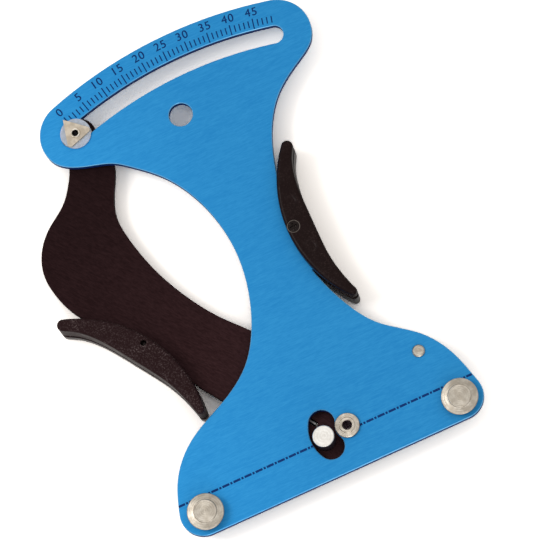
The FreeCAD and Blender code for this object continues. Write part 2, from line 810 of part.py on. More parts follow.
def make_lever_plate():
    body = new_body("lever_plate", z=LEVER_BACK)
    outline = new_sketch(body, "XY_Plane")
    draw_curves(outline, lever_outline())
    blank = pad(body, outline, size("lever_thickness"))
    soften(body, "Chamfer", blank, (UP, DOWN), size("edge_break"))
    place = grip_frame(LEFT_GRIP_SHARES, degrees("left_grip_turn"), True)
    add_tab(body, place, size("lever_thickness"))
    holes = new_sketch(body, "XY_Plane")
    draw_circle(holes, ZERO, ZERO, size("bush_radius") + size("running_clearance"))
    draw_circle(holes, *moving_post_place(), size("moving_shank_radius") + size("running_clearance"))
    draw_circle(holes, *pointer_place(), size("rivet_radius") + size("running_clearance"))
    hook = plan(polar(size("hook_arm"), degrees("hook_angle")))
    half_width = (size("wire_radius") + size("tail_slot_play")).value
    draw_curves(holes, stadium(hook, hook + tail_direction() * size("tail_length").value, half_width))
    tab_holes(holes, place)
    cut_through(body, holes)
    return body


def make_moving_post():
    """A plain round post through the kidney slot, riveted flush with the lever's back."""
    body = new_body("moving_post", *moving_post_place())
    top = PLATE_FRONT + size("moving_post_stand")
    chamfer = size("small_chamfer")
    turn_profile(body, [
        (ZERO, LEVER_BACK), (size("moving_shank_radius"), LEVER_BACK),
        (size("moving_shank_radius"), LEVER_FRONT),
        (size("moving_post_radius"), LEVER_FRONT), (size("moving_post_radius"), top - chamfer),
        (size("moving_post_radius") - chamfer, top), (ZERO, top),
    ])
    return body


# Pointer and what holds it

REAR_WASHER_TOP = LEVER_FRONT + size("washer_thickness")
FRONT_WASHER_BOTTOM = PLATE_FRONT + size("washer_gap")
FRONT_WASHER_TOP = FRONT_WASHER_BOTTOM + size("washer_thickness")
POINTER_TOP = FRONT_WASHER_TOP + size("pointer_thickness")


def make_pointer():
    """A thin triangle with a sharp tip on the scale and two round corners."""
    body = new_body("pointer", *pointer_place(), FRONT_WASHER_TOP, degrees("rest_angle") - QUARTER_TURN)
    corner = size("pointer_corner").value
    half = size("pointer_half_width").value - corner
    heel = corner - size("pointer_heel").value
    tip = Vector(0, size("pointer_length").value, 0)
    right = Vector(half, heel, 0)
    left = Vector(-half, heel, 0)
    side = tip - right
    lean = math.degrees(math.atan2(side.y, side.x)) - math.degrees(math.asin(corner / side.Length))
    right_angle = lean - QUARTER_TURN
    right_touch = on_circle(right, corner, right_angle)
    left_touch = on_circle(left, corner, HALF_TURN - right_angle)
    below = Vector(0, corner, 0)
    sketch = new_sketch(body, "XY_Plane")
    draw_curves(sketch, [
        Part.LineSegment(left - below, right - below),
        arc(right, corner, -QUARTER_TURN, right_angle),
        Part.LineSegment(right_touch, tip),
        Part.LineSegment(tip, left_touch),
        arc(left, corner, HALF_TURN - right_angle, HALF_TURN + QUARTER_TURN),
    ])
    pad(body, sketch, size("pointer_thickness"))
    hole = new_sketch(body, "XY_Plane")
    draw_circle(hole, ZERO, ZERO, size("rivet_radius") + size("running_clearance"))
    cut_through(body, hole)
    return body


def make_pointer_rivet():
    body = new_body("pointer_rivet", *pointer_place())
    bore = size("rivet_bore_radius")
    shank = size("rivet_radius")
    head = size("rivet_head_radius")
    tail = size("rivet_tail_radius")
    top = POINTER_TOP + size("rivet_head_height")
    bottom = LEVER_BACK - size("rivet_tail_height")
    chamfer = size("small_chamfer")
    turn_profile(body, [
        (bore, bottom), (tail - chamfer, bottom), (tail, bottom + chamfer), (tail, LEVER_BACK),
        (shank, LEVER_BACK), (shank, POINTER_TOP), (head, POINTER_TOP), (head - chamfer, top),
        (bore + chamfer, top), (bore, top - chamfer),
    ])
    return body


# Grips

def grip_ends():
    """The centres and radii of a grip's round ends, in its own drawing."""
    top_radius = size("grip_top_radius").value
    bottom_radius = size("grip_bottom_radius").value
    top = Vector(size("grip_top_offset").value, size("grip_top_reach").value - top_radius, 0)
    bottom = Vector(size("grip_bottom_offset").value, bottom_radius - size("grip_bottom_reach").value, 0)
    return (top, top_radius), (bottom, bottom_radius)


def grip_bulge():
    """How far inwards of the screw the bulging side lies: past the screw's head by a wall."""
    return (size("screw_head_radius") + size("running_clearance") + size("grip_head_wall")).value


def where_reaches_meet(first, first_product, second, second_product):
    """The flat vector whose dot products with two others are the given ones."""
    spread = first.dot(second.cross(UP))
    return (second.cross(UP) * first_product - first.cross(UP) * second_product) * (1 / spread)


def grip_inner_centre():
    """The centre of the bulging side, an arc round both round ends that passes the screw's head."""
    bulge = Vector(-grip_bulge(), 0, 0)
    (top, top_radius), (bottom, bottom_radius) = grip_ends()
    to_top = top - bulge
    to_bottom = bottom - bulge
    start = where_reaches_meet(to_top, (to_top.dot(to_top) - top_radius ** 2) / 2,
                               to_bottom, (to_bottom.dot(to_bottom) - bottom_radius ** 2) / 2)
    step = where_reaches_meet(to_top, top_radius, to_bottom, bottom_radius)
    lag = start.dot(step)
    spare = 1 - step.dot(step)
    radius = (lag + math.sqrt(lag ** 2 + spare * start.dot(start))) / spare
    return bulge + start + step * radius


def grip_finger_points():
    waist = size("grip_waist").value
    points = []
    for across, along in GRIP_FINGER_SHARES:
        reach = size("grip_top_reach" if along > 0 else "grip_bottom_reach").value
        points.append(Vector(waist * across, reach * along, 0))
    return points


def grip_outline(side):
    """A crescent that bulges towards the plates and is hollowed where the fingers lie."""
    (top, top_radius), (bottom, bottom_radius) = grip_ends()
    centre = grip_inner_centre()
    inner_top = top + (top - centre).normalize() * top_radius
    inner_bottom = bottom + (bottom - centre).normalize() * bottom_radius
    finger_bottom = on_circle(bottom, bottom_radius, GRIP_BOTTOM_JOIN_ANGLE)
    finger_top = on_circle(top, top_radius, GRIP_TOP_JOIN_ANGLE)

    def turned(point):
        return Vector(side * point.x, point.y, 0)

    def arc_through(*points):
        return Part.Arc(*[turned(point) for point in points])

    finger_side = [turned(point) for point in [finger_bottom] + grip_finger_points() + [finger_top]]
    return [
        arc_through(inner_top, Vector(-grip_bulge(), 0, 0), inner_bottom),
        arc_through(inner_bottom, bottom - Vector(0, bottom_radius, 0), finger_bottom),
        smooth_line(finger_side, turned(heading(GRIP_BOTTOM_JOIN_ANGLE)),
                    turned(heading(GRIP_TOP_JOIN_ANGLE))),
        arc_through(finger_top, top + Vector(0, top_radius, 0), inner_top),
    ]


def make_grip_half(label, place, level, turn, flipped, thin):
    """One moulding of a grip: the thin one takes the screw's head and has the pegs."""
    body = new_body(label, *place, level, turn, flipped)
    height = size("grip_thin_height") if thin else GRIP_THICK_HEIGHT
    outline = new_sketch(body, "XY_Plane")
    draw_curves(outline, grip_outline(1 if thin else -1))
    block = pad(body, outline, height)
    soften(body, "Fillet", block, (UP,), size("grip_edge_round"))
    over = size("overrun")
    bore = new_sketch(body, "XZ_Plane")
    if thin:
        pegs = new_sketch(body, "XY_Plane")
        for share in (-0.5, 0.5):
            draw_circle(pegs, size("peg_offset"), size("peg_spacing") * share, size("peg_radius"))
        pad(body, pegs, size("plate_thickness") - size("peg_short"), downwards=True)
        head = size("screw_head_radius") + size("running_clearance")
        shank = size("screw_hole_radius")
        seat = height - size("screw_head_sink")
        draw_polygon(bore, [
            (ZERO, -over), (shank, -over), (shank, seat - head + shank), (head, seat),
            (head, height + over), (ZERO, height + over),
        ])
    else:
        shank = size("screw_radius") + size("screw_thread_clearance")
        draw_polygon(bore, [(ZERO, -over), (shank, -over), (shank, height + over), (ZERO, height + over)])
    cut_turned(body, bore)
    return body


def make_screw(label, place, level, turn, flipped, thickness):
    """A countersunk screw with a cross recess, drawn from the face that the thin grip half sits on."""
    body = new_body(label, *place, level, turn, flipped)
    top = size("grip_thin_height") - size("screw_head_sink")
    tip = -thickness - size("screw_bite")
    shank = size("screw_radius")
    head = size("screw_head_radius")
    turn_profile(body, [
        (ZERO, tip), (size("screw_point_radius"), tip), (shank, tip + shank),
        (shank, top - head + shank),
        (head, top), (ZERO, top),
    ])
    half = size("cross_half_width")
    reach = size("cross_half_length")
    cross = new_sketch(body, "XY_Plane", top)
    draw_polygon(cross, [
        (-half, -reach), (half, -reach), (half, -half), (reach, -half), (reach, half), (half, half),
        (half, reach), (-half, reach), (-half, half), (-reach, half), (-reach, -half), (-half, -half),
    ])
    cut_down(body, cross, size("cross_depth"))
    return body


def make_grips():
    right = at_share(RIGHT_GRIP_SHARES)
    left = at_share(LEFT_GRIP_SHARES)
    right_turn = degrees("right_grip_turn")
    left_turn = degrees("left_grip_turn")
    return [
        make_grip_half("right_grip_front", right, PLATE_FRONT, right_turn, False, True),
        make_grip_half("right_grip_rear", right, PLATE_BACK, right_turn, True, False),
        make_screw("right_grip_screw", right, PLATE_FRONT, right_turn, False, size("plate_thickness")),
        make_grip_half("left_grip_front", left, LEVER_FRONT, left_turn, False, False),
        make_grip_half("left_grip_rear", left, LEVER_BACK, left_turn, True, True),
        make_screw("left_grip_screw", left, LEVER_BACK, left_turn, True, size("lever_thickness")),
    ]


def make_meter():
    shaft = size("bush_radius") + size("running_clearance")
    rivet = size("rivet_radius") + size("running_clearance")
    pointer = pointer_place()
    play = size("axial_play")
    return [
        make_front_plate(),
        make_fixed_post("left_post", -1),
        make_fixed_post("right_post", 1),
        make_pivot_bush(),
        make_ring("plate_spacer", shaft, size("spacer_radius"), LEVER_FRONT + play, PLATE_BACK),
        make_ring("spring_hub", shaft, size("hub_radius"), size("bush_tail_height"), LEVER_BACK - play),
        make_spring_pin(),
        make_return_spring(),
        make_lever_plate(),
        make_moving_post(),
        make_pointer(),
        make_ring("pointer_front_washer", rivet, size("washer_radius"), FRONT_WASHER_BOTTOM,
                  FRONT_WASHER_TOP, *pointer),
        make_ring("pointer_bush", rivet, size("pointer_bush_radius"),
                  REAR_WASHER_TOP, FRONT_WASHER_BOTTOM, *pointer),
        make_ring("pointer_rear_washer", rivet, size("washer_radius"), LEVER_FRONT, REAR_WASHER_TOP,
                  *pointer),
        make_pointer_rivet(),
    ] + make_grips()


def check(pieces):
    """Stop before anything is written if an object failed or a piece isn't a sound solid."""
    for item in doc.Objects:
        if "Invalid" in item.State or "Error" in item.State:
            raise RuntimeError(item.Name + " failed: " + ", ".join(item.State))
    for piece in pieces:
        shape = piece.Shape
        if shape.isNull() or not shape.isValid() or not shape.Solids:
            raise RuntimeError(piece.Label + " has no valid solid")


def write(pieces):
    os.makedirs("parts", exist_ok=True)
    for piece in pieces:
        piece.Shape.exportStep("parts/%s.step" % piece.Label)
        box = piece.Shape.BoundBox
        print("%-22s volume %9.1f  x %7.2f %7.2f  y %7.2f %7.2f  z %6.2f %6.2f" % (
            piece.Label, piece.Shape.Volume, box.XMin, box.XMax, box.YMin, box.YMax, box.ZMin, box.ZMax))


meter = make_meter()
doc.recompute()
check(meter)
write(meter)
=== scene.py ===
import json
import logging
import math
from dataclasses import dataclass, field, replace
from enum import Enum

import bmesh
import bpy
from mathutils import Euler, Matrix, Vector

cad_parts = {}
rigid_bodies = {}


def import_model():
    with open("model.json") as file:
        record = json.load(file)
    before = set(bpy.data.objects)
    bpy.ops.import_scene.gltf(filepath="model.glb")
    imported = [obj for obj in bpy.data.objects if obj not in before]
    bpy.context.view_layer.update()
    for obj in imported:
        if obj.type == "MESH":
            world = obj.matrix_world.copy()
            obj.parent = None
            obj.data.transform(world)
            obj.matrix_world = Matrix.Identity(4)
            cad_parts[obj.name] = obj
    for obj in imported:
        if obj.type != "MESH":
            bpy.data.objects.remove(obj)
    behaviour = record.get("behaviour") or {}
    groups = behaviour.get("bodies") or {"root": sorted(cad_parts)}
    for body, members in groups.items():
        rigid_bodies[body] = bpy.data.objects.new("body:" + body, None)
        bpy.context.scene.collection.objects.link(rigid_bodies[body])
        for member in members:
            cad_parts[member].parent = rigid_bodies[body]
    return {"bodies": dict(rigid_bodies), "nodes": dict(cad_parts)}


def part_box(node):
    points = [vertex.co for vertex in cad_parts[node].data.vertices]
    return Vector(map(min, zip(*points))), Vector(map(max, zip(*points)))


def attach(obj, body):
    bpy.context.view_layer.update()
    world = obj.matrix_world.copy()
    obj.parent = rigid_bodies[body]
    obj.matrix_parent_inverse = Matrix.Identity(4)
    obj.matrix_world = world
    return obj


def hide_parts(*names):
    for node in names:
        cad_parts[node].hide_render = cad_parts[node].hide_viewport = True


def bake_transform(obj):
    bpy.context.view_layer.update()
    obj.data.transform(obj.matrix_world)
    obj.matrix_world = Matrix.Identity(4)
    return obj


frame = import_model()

# Looks of a spoke tension meter: a blue anodised plate with a stamped scale, turned posts, and a dark
# sprung lever behind it with a pointer and moulded grips. All lengths are in metres.

log = logging.getLogger("spoke_tension_meter")

MM = 0.001
MERGE_DISTANCE = 0.002 * MM
SHARP_ANGLE = math.radians(32)
CARRIED_NORMALS = "custom_normal"
# Where the sink marks lie from the middle of a grip's screw, across and along the part
RIGHT_SINK_MARKS = ((2.6 * MM, 10.5 * MM), (2.5 * MM, -11.3 * MM))
# How narrow a stamping tool's bottom is beside its top: along, across and up
TOOL_TAPER_SHARES = (0.88, 0.7, 1.0)
# The values that a noise usually keeps between, for finishes that swing with it, fade with it or cloud over
USUAL_NOISE = (0.3, 0.7)
SOFT_NOISE = (0.35, 0.65)
CLOUD_NOISE = (0.35, 0.68)

Triple = tuple[float, float, float]
Colour = Triple
Span = tuple[float, float]
Socket = bpy.types.NodeSocket
Material = bpy.types.Material
Piece = bpy.types.Object
Shape = bmesh.types.BMesh


class Body(Enum):
    """The two rigid bodies that the joint joins."""

    FRAME = "frame"
    LEVER = "lever"


class Grain(Enum):
    """The direction of a sheet's brushed grain in the plane of the plates, in degrees from +X."""

    ALONG_POSTS = 0.0
    ALONG_LEVER = 127.0


class Side(Enum):
    """Which hand grip is meant: its name stands first in its nodes' names."""

    LEFT = "left"
    RIGHT = "right"


class ShaderTree:
    """A new material with short calls that add its nodes and join them."""

    def __init__(self, name: str) -> None:
        """Start an empty material.

        Args:
            name: the material's name.
        """
        self.material = bpy.data.materials.new(name)
        self.material.use_nodes = True
        self.tree = self.material.node_tree
        self.tree.nodes.clear()
        self.output = self.tree.nodes.new("ShaderNodeOutputMaterial")

    def node(self, kind: str, inputs: dict | None = None, **settings: object) -> bpy.types.Node:
        """Add a node.

        Args:
            kind: the node's type without its common first part.
            inputs: socket names or numbers and what goes in: a value, or another node's output.
            settings: the node's own options.

        Returns:
            The new node.
        """
        made = self.tree.nodes.new("ShaderNode" + kind)
        for key, value in settings.items():
            setattr(made, key, value)
        for key, value in (inputs or {}).items():
            if isinstance(value, Socket):
                self.tree.links.new(value, made.inputs[key])
            else:
                made.inputs[key].default_value = value
        return made

    def object_place(self) -> Socket:
        """The place of the shaded point in the piece's own coordinates."""
        return self.node("TexCoord").outputs["Object"]

    def object_normal(self) -> Socket:
        """The surface's direction in the piece's own coordinates."""
        return self.node("TexCoord").outputs["Normal"]

    def levelness(self) -> Socket:
        """How level the surface lies: one on a face of the sheet, zero on a wall."""
        return self.maths("ABSOLUTE", self.node("SeparateXYZ", {0: self.object_normal()}).outputs[2])

    def length(self, vector: Socket) -> Socket:
        """A vector's length."""
        return self.node("VectorMath", {0: vector}, operation="LENGTH").outputs["Value"]

    def mapped(self, scale: Triple, turn: float = 0.0, centre: Triple = (0.0, 0.0, 0.0)) -> Socket:
        """The point's place, moved, turned about Z and scaled.

        Args:
            scale: how many pattern units one metre is, along each turned axis.
            turn: the direction in degrees that the first scale follows.
            centre: the place that becomes the pattern's origin.

        Returns:
            The mapped place.
        """
        moved = self.node("VectorMath", {0: self.object_place(), 1: centre}, operation="SUBTRACT")
        angles = (0.0, 0.0, math.radians(-turn))
        turned = self.node("Mapping", {"Vector": moved.outputs[0], "Rotation": angles})
        return self.node("VectorMath", {0: turned.outputs[0], 1: scale}, operation="MULTIPLY").outputs[0]

    def noise(self, place: Socket, scale: float, detail: float = 3.0,
              roughness: float = 0.55) -> Socket:
        """A noise value about one half.

        Args:
            place: the mapped place that it reads.
            scale: its frequency.
            detail: its number of octaves.
            roughness: how strong its fine octaves are.

        Returns:
            The noise value.
        """
        inputs = {"Vector": place, "Scale": scale, "Detail": detail, "Roughness": roughness}
        return self.node("TexNoise", inputs).outputs["Fac"]

    def maths(self, operation: str, first: object, second: object = 0.0, third: object = 0.0) -> Socket:
        """The result of one arithmetic step on sockets or numbers."""
        made = self.node("Math", {0: first, 1: second, 2: third}, operation=operation)
        return made.outputs[0]

    def swung(self, noise: Socket, middle: float, swing: Span) -> Socket:
        """A value that swings to either side of a middle one as a noise does."""
        return self.ranged(noise, *USUAL_NOISE, middle + swing[0], middle + swing[1])

    def ranged(self, value: Socket, low: float, high: float, to_low: float,
               to_high: float) -> Socket:
        """A value carried smoothly from one range into another.

        Args:
            value: the value that is carried over.
            low: where its own range starts.
            high: where its own range ends.
            to_low: what the start becomes.
            to_high: what the end becomes.

        Returns:
            The carried value.
        """
        made = self.node("MapRange", {0: value, 1: low, 2: high, 3: to_low, 4: to_high},
                         interpolation_type="SMOOTHSTEP")
        return made.outputs[0]

    def blend(self, share: object, first: object, second: object) -> Socket:
        """A colour between two colours or sockets.

        Args:
            share: how much of the second colour shows.
            first: the colour at a share of zero.
            second: the colour at a share of one.

        Returns:
            The mixed colour.
        """
        made = self.node("Mix", data_type="RGBA")
        for socket, value in ((made.inputs[0], share), (made.inputs[6], first), (made.inputs[7], second)):
            if isinstance(value, Socket):
                self.tree.links.new(value, socket)
            else:
                socket.default_value = (*value, 1.0) if isinstance(value, tuple) else value
        return made.outputs[2]

    def bump(self, height: Socket, distance: float, strength: float = 1.0,
             normal: Socket | None = None) -> Socket:
        """A normal that follows a height.

        Args:
            height: the height value.
            distance: how deep a height of one is.
            strength: the share of the effect that shows.
            normal: the normal that it starts from, where there is one.

        Returns:
            The bent normal.
        """
        inputs = {"Height": height, "Distance": distance, "Strength": strength}
        if normal is not None:
            inputs["Normal"] = normal
        return self.node("Bump", inputs).outputs[0]

    def rounded(self, radius: float) -> Socket:
        """A normal that rolls over every edge, as the tiny round of a real edge does."""
        return self.node("Bevel", {"Radius": radius}, samples=6).outputs[0]

    def finish(self, **inputs: object) -> Material:
        """Join a Principled shader to the output.

        Args:
            inputs: its sockets, with spaces written as underscores.

        Returns:
            The finished material.
        """
        named = {key.replace("_", " "): value for key, value in inputs.items()}
        for key, value in named.items():
            if isinstance(value, tuple) and len(value) == 3:
                named[key] = (*value, 1.0)
        shader = self.node("BsdfPrincipled", named)
        self.tree.links.new(shader.outputs[0], self.output.inputs[0])
        return self.material


@dataclass(frozen=True)
class AnodisedSheet:
    """Brushed aluminium sheet under a coloured anodised layer, with lighter broken edges that are partly
    wear and partly painted highlight, painted shade on its walls, and painted light that grows towards one
    end.
    """

    name: str
    colour: Colour
    deep_colour: Colour
    edge_colour: Colour
    wall_colour: Colour
    grain: Grain
    roughness: float
    metallic: float
    oxide_gloss: float
    edge_level: float = 0.7
    edge_band: float = 0.22
    edge_wear: Span = (0.35, 0.8)
    edge_round: float = 0.14 * MM
    edge_polish: float = 0.22
    wall_levels: Span = (0.1, 0.4)
    fade_gain: float = 1.0
    fade_axis: int = 1
    fade_span: Span = (0.0, 150.0 * MM)
    fine_scale: Triple = (330.0, 2600.0, 300.0)
    broad_scale: Triple = (110.0, 1000.0, 200.0)
    cloud_scale: float = 24.0
    fine_share: float = 0.68
    cloud_share: float = 0.12
    shade_levels: Span = (0.40, 0.74)
    grain_depth: float = 0.006 * MM
    roughness_swing: Span = (-0.05, 0.07)

    def material(self) -> Material:
        """Make the sheet's material.

        Returns:
            The material.
        """
        tree = ShaderTree(self.name)
        fine = tree.noise(tree.mapped(self.fine_scale, self.grain.value), 1.0, detail=4.0, roughness=0.65)
        broad = tree.noise(tree.mapped(self.broad_scale, self.grain.value), 1.0, detail=3.0, roughness=0.5)
        cloud = tree.noise(tree.object_place(), self.cloud_scale, detail=2.0, roughness=0.5)
        streak = tree.maths("ADD", tree.maths("MULTIPLY", fine, self.fine_share),
                            tree.maths("MULTIPLY", broad, 1.0 - self.fine_share))
        clouded = tree.maths("ADD", streak, tree.maths("MULTIPLY", cloud, self.cloud_share))
        shade = tree.ranged(clouded, *self.shade_levels, 0.0, 1.0)
        # Painted light: the colour grows brighter towards one end of the sheet, standing for the lamp's
        # fall-off and sheen.
        along = tree.node("SeparateXYZ", {0: tree.object_place()}).outputs[self.fade_axis]
        gain = tree.ranged(along, *self.fade_span, self.fade_gain, 1.0)
        sheet = tree.blend(shade, self.deep_colour, self.colour)
        face = tree.node("VectorMath", {0: sheet, "Scale": gain}, operation="SCALE").outputs[0]
        level = tree.levelness()
        # Painted shade: the walls take a darker colour than the faces.
        base = tree.blend(tree.ranged(level, *self.wall_levels, 1.0, 0.0), face, self.wall_colour)
        edge = tree.maths("COMPARE", level, self.edge_level, self.edge_band)
        # The chamfers take a lighter colour: partly wear, and partly a painted highlight where light
        # catches the edges.
        worn = tree.maths("MULTIPLY", edge, tree.ranged(cloud, *SOFT_NOISE, *self.edge_wear))
        matt = tree.swung(streak, self.roughness, self.roughness_swing)
        roughness = tree.maths("SUBTRACT", matt, tree.maths("MULTIPLY", edge, self.edge_polish))
        normal = tree.bump(streak, self.grain_depth, 0.6, tree.rounded(self.edge_round))
        return tree.finish(Base_Color=tree.blend(worn, base, self.edge_colour), Metallic=self.metallic,
                           Roughness=roughness, Normal=normal, Specular_IOR_Level=self.oxide_gloss)


@dataclass(frozen=True)
class StampedPaint:
    """Dark paint left in the bottom of stamped marks."""

    name: str
    colour: Colour
    thin_colour: Colour
    spread_scale: float = 1900.0
    thin_levels: Span = (0.45, 0.75)
    thin_share: float = 0.6
    roughness: float = 0.5
    roughness_swing: Span = (0.0, 0.18)
    gloss: float = 0.1

    def material(self) -> Material:
        """Make the paint's material.

        Returns:
            The material.
        """
        tree = ShaderTree(self.name)
        spread = tree.noise(tree.object_place(), self.spread_scale, detail=3.0, roughness=0.6)
        thin = tree.ranged(spread, *self.thin_levels, 0.0, self.thin_share)
        return tree.finish(Base_Color=tree.blend(thin, self.colour, self.thin_colour),
                           Roughness=tree.swung(spread, self.roughness, self.roughness_swing),
                           Normal=tree.bump(spread, 0.01 * MM, 0.5), Specular_IOR_Level=self.gloss)


@dataclass(frozen=True)
class TurnedMetal:
    """Metal turned in a lathe: rings round an axis, painted shade on its sides and in its bore, and gloss
    that is drawn out round it.
    """

    name: str
    centre: Vector
    colour: Colour = (0.50, 0.44, 0.36)
    pale_colour: Colour = (0.67, 0.61, 0.52)
    side_colour: Colour = (0.085, 0.065, 0.080)
    side_levels: Span = (0.15, 0.45)
    bore_colour: Colour = (0.34, 0.21, 0.29)
    bore_radius: float = 0.0
    roughness: float = 0.24
    roughness_swing: Span = (-0.06, 0.08)
    anisotropic: float = 0.60
    ring_pitch: float = 0.85 * MM
    ring_climb: float = 2600.0
    ring_share: float = 0.5
    ring_depth: float = 0.034 * MM
    score_scale: float = 5200.0
    smudge_scale: float = 420.0
    smudge_levels: Span = (0.35, 0.7)
    edge_round: float = 0.12 * MM

    def material(self) -> Material:
        """Make the turned metal's material.

        Returns:
            The material.
        """
        tree = ShaderTree(self.name)
        place = tree.mapped((1.0, 1.0, 1.0), centre=(self.centre.x, self.centre.y, 0.0))
        parts = tree.node("SeparateXYZ", {0: place})
        flat = tree.node("CombineXYZ", {0: parts.outputs[0], 1: parts.outputs[1]})
        radius = tree.length(flat.outputs[0])
        turns = tree.maths("MULTIPLY", radius, 2 * math.pi / self.ring_pitch)
        climb = tree.maths("MULTIPLY", parts.outputs[2], self.ring_climb)
        rings = tree.maths("SINE", tree.maths("ADD", turns, climb))
        along = tree.node("CombineXYZ", {0: radius, 1: parts.outputs[2]})
        scored = tree.noise(along.outputs[0], self.score_scale, detail=3.0, roughness=0.7)
        smudge = tree.noise(tree.object_place(), self.smudge_scale, detail=3.0, roughness=0.6)
        height = tree.maths("ADD", tree.maths("MULTIPLY", rings, self.ring_share), scored)
        tangent = tree.node("VectorMath", {0: (0.0, 0.0, 1.0), 1: flat.outputs[0]},
                            operation="CROSS_PRODUCT")
        along_rings = tree.node("VectorMath", {0: tangent.outputs[0]}, operation="NORMALIZE")
        bright = tree.ranged(smudge, *self.smudge_levels, 0.0, 1.0)
        faces = tree.blend(bright, self.colour, self.pale_colour)
        # Painted shade: the upright sides take a dark colour.
        side = tree.ranged(tree.levelness(), *self.side_levels, 1.0, 0.0)
        outside = tree.blend(side, faces, self.side_colour)
        # Painted shade: inside the bore the metal takes a dark colour.
        colour = tree.blend(tree.maths("LESS_THAN", radius, self.bore_radius), outside, self.bore_colour)
        return tree.finish(Base_Color=colour, Metallic=1.0, Anisotropic=self.anisotropic,
                           Tangent=along_rings.outputs[0],
                           Roughness=tree.swung(scored, self.roughness, self.roughness_swing),
                           Normal=tree.bump(height, self.ring_depth, 0.7, tree.rounded(self.edge_round)))


@dataclass(frozen=True)
class StampedNickel:
    """Thin nickel-plated sheet with small pits, as the pointer is."""

    name: str
    colour: Colour = (0.53, 0.45, 0.35)
    pale_colour: Colour = (0.71, 0.62, 0.50)
    roughness: float = 0.42
    roughness_swing: Span = (-0.08, 0.10)
    metallic: float = 0.92
    pit_scale: float = 1500.0
    pit_depth: float = 0.02 * MM
    cloud_scale: float = 330.0
    edge_round: float = 0.1 * MM

    def material(self) -> Material:
        """Make the plated sheet's material.

        Returns:
            The material.
        """
        tree = ShaderTree(self.name)
        pits = tree.noise(tree.object_place(), self.pit_scale, detail=4.0, roughness=0.6)
        clouds = tree.noise(tree.object_place(), self.cloud_scale, detail=2.0, roughness=0.5)
        colour = tree.blend(tree.ranged(clouds, *CLOUD_NOISE, 0.0, 1.0), self.colour, self.pale_colour)
        return tree.finish(Base_Color=colour, Metallic=self.metallic,
                           Normal=tree.bump(pits, self.pit_depth, 0.5, tree.rounded(self.edge_round)),
                           Roughness=tree.swung(pits, self.roughness, self.roughness_swing))


@dataclass(frozen=True)
class DrawnWire:
    """Spring steel wire with an oil-darkened bloom."""

    name: str
    colour: Colour = (0.42, 0.41, 0.40)
    dark_colour: Colour = (0.22, 0.20, 0.19)
    roughness: float = 0.24
    roughness_swing: Span = (0.0, 0.18)
    bloom_scale: float = 260.0
    draw_scale: float = 3200.0
    draw_depth: float = 0.004 * MM

    def material(self) -> Material:
        """Make the wire's material.

        Returns:
            The material.
        """
        tree = ShaderTree(self.name)
        bloom = tree.noise(tree.object_place(), self.bloom_scale, detail=4.0, roughness=0.6)
        fine = tree.noise(tree.object_place(), self.draw_scale, detail=2.0, roughness=0.6)
        colour = tree.blend(tree.ranged(bloom, *CLOUD_NOISE, 0.0, 1.0), self.colour, self.dark_colour)
        return tree.finish(Base_Color=colour, Metallic=1.0, Normal=tree.bump(fine, self.draw_depth, 0.5),
                           Roughness=tree.swung(bloom, self.roughness, self.roughness_swing))


@dataclass(frozen=True)
class BlackenedSteel:
    """Blackened screw steel, worn bright on its rim."""

    name: str
    centre: Vector
    rim_radius: float = 2.45 * MM
    rim_width: float = 0.2 * MM
    rim_wear: float = 0.85
    colour: Colour = (0.016, 0.011, 0.010)
    worn_colour: Colour = (0.26, 0.22, 0.19)
    wear_scale: float = 1400.0
    wear_levels: Span = (0.56, 0.74)
    wear_share: float = 0.4
    roughness: float = 0.3
    roughness_swing: Span = (0.0, 0.16)
    metallic: float = 0.85

    def material(self) -> Material:
        """Make the screw's material.

        Returns:
            The material.
        """
        tree = ShaderTree(self.name)
        wear = tree.noise(tree.object_place(), self.wear_scale, detail=4.0, roughness=0.65)
        radius = tree.length(tree.mapped((1.0, 1.0, 0.0), centre=(self.centre.x, self.centre.y, 0.0)))
        rim = tree.ranged(radius, self.rim_radius, self.rim_radius + self.rim_width, 0.0, self.rim_wear)
        scuffed = tree.maths("MAXIMUM", rim, tree.ranged(wear, *self.wear_levels, 0.0, self.wear_share))
        return tree.finish(Base_Color=tree.blend(scuffed, self.colour, self.worn_colour),
                           Metallic=self.metallic, Normal=tree.bump(wear, 0.01 * MM, 0.5),
                           Roughness=tree.swung(wear, self.roughness, self.roughness_swing))


@dataclass(frozen=True)
class MouldedPlastic:
    """Dark plastic from a spark-eroded mould: a fine even texture with pale specks, which a bright pale
    colour turns into a painted sheen.
    """

    name: str
    colour: Colour
    pale_colour: Colour
    roughness: float = 0.30
    roughness_swing: Span = (-0.04, 0.07)
    gloss: float = 0.05
    grain_scale: float = 1900.0
    grain_depth: float = 0.035 * MM
    speck_levels: Span = (0.50, 0.68)
    patch_scale: float = 130.0
    patch_levels: Span = (0.42, 0.62)
    patch_shares: Span = (0.30, 0.8)
    edge_round: float = 0.5 * MM

    def material(self) -> Material:
        """Make the plastic's material.

        Returns:
            The material.
        """
        tree = ShaderTree(self.name)
        grain = tree.noise(tree.object_place(), self.grain_scale, detail=3.0, roughness=0.6)
        patches = tree.noise(tree.object_place(), self.patch_scale, detail=3.0, roughness=0.55)
        # The pale specks are partly the mould's texture and, where the pale colour is bright, a painted
        # sheen.
        specks = tree.maths("MULTIPLY", tree.ranged(grain, *self.speck_levels, 0.0, 1.0),
                            tree.ranged(patches, *self.patch_levels, *self.patch_shares))
        normal = tree.bump(grain, self.grain_depth, 0.45, tree.rounded(self.edge_round))
        return tree.finish(Base_Color=tree.blend(specks, self.colour, self.pale_colour), Normal=normal,
                           Roughness=tree.swung(patches, self.roughness, self.roughness_swing),
                           Specular_IOR_Level=self.gloss)


